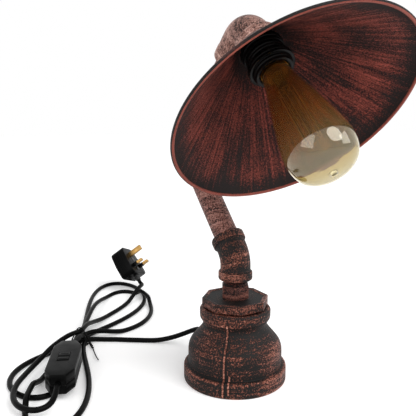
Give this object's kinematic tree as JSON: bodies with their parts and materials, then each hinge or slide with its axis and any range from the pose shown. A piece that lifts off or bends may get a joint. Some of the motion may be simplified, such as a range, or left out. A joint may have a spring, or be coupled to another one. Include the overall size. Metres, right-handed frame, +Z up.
{
  "type": "industrial pipe table lamp",
  "caption": "Table lamp made of pipe fittings: two pipe arms that swivel on elbows, a cone shade round a long filament bulb, and a cord with switch and plug tied in a hank.",
  "frame": {"origin": "centre of the underside of the base, on the surface that the lamp stands on", "axes": "+Z up, the arms in the YZ plane, the shade looks toward -Y, the cord leaves toward +Y"},
  "size_m": [0.3485, 0.5676, 0.381],
  "materials": {
    "cast_fittings": "black cast iron, dry-brushed with antique red-brown",
    "light_fitting": "black cast iron, dry-brushed with pinkish copper",
    "brushed_pipe": "steel pipe, brushed antique red over black",
    "shade_paint": "spun steel sheet, antique red paint with black brush streaks",
    "washer_paint": "black painted washer",
    "closing_plate": "black painted sheet",
    "felt": "black felt",
    "steel": "zinc-plated steel",
    "brass": "plain brass",
    "pin_brass": "worn yellow brass",
    "bakelite": "black-brown moulded lampholder",
    "ceramic": "cream ceramic",
    "amber_glass": "clear amber glass",
    "clear_glass": "clear glass",
    "filament_wire": "tungsten filament wire",
    "black_plastic": "glossy black plastic",
    "black_rubber": "smooth black flex and sleeves"
  },
  "bodies": {
    "base": {"base_reducer": "cast_fittings", "base_plate": "closing_plate", "base_pad": "felt", "plate_screws": "steel", "octagon_bushing": "cast_fittings", "hex_nipple": "cast_fittings", "cord_gland": "black_rubber", "cable_in_base": "black_rubber", "cord_lead": "black_rubber", "cord_hank": "black_rubber", "cord_tail": "black_rubber", "twist_tie": "black_rubber", "switch_base": "black_plastic", "switch_cover": "black_plastic", "switch_contacts": "brass", "switch_screws": "steel", "plug_body": "black_plastic", "plug_cover": "black_plastic", "plug_relief": "black_rubber", "earth_pin": "pin_brass", "line_pins": "pin_brass", "pin_sleeves": "black_plastic", "plug_screw": "steel"},
    "lower_arm": {"lower_elbow": "cast_fittings", "lower_pipe": "brushed_pipe", "cable_in_lower_arm": "black_rubber"},
    "upper_arm": {"middle_elbow": "cast_fittings", "upper_pipe": "brushed_pipe", "cable_in_upper_arm": "black_rubber"},
    "head": {"top_elbow": "light_fitting", "head_plug": "cast_fittings", "holder_stud": "brass", "stud_nuts": "brass", "cable_in_head": "black_rubber", "shade_washer": "washer_paint", "shade": "shade_paint", "holder_cap": "bakelite", "holder_body": "bakelite", "holder_ring": "bakelite", "holder_insert": "ceramic", "screw_shell": "brass", "centre_contact": "brass"},
    "bulb": {"bulb_glass": "amber_glass", "bulb_cap": "brass", "bulb_insulator": "bakelite", "bulb_contact": "steel", "bulb_stem": "clear_glass", "filament": "filament_wire"},
    "rocker": {"switch_rocker": "black_plastic"},
    "fuse": {"fuse_carrier": "black_plastic", "plug_fuse": "ceramic"}
  },
  "joints": [
    {"name": "arm_swivel", "type": "hinge", "parent": "base", "child": "lower_arm", "pos_m": [0, 0, 0.1361], "axis": [0, 0, 1], "range_deg": [-90, 90]},
    {"name": "elbow_swivel", "type": "hinge", "parent": "lower_arm", "child": "upper_arm", "pos_m": [0, 0.10825, 0.24703], "axis": [0, 0.6984, 0.7157], "range_deg": [-75, 75]},
    {"name": "shade_swivel", "type": "hinge", "parent": "upper_arm", "child": "head", "pos_m": [0, -0.01842, 0.37065], "axis": [0, -0.7157, 0.6984], "range_deg": [-75, 75]},
    {"name": "bulb_unscrew", "type": "slide", "parent": "head", "child": "bulb", "axis": [0, -0.6984, -0.7157], "range_m": [0, 0.022]},
    {"name": "rocker_tilt", "type": "hinge", "parent": "base", "child": "rocker", "pos_m": [-0.167, 0.08, 0.0234], "axis": [0.9135, -0.4067, 0], "range_deg": [-8, 8]},
    {"name": "fuse_pull", "type": "slide", "parent": "base", "child": "fuse", "axis": [0.6685, -0.4339, 0.604], "range_m": [0, 0.012]}
  ]
}
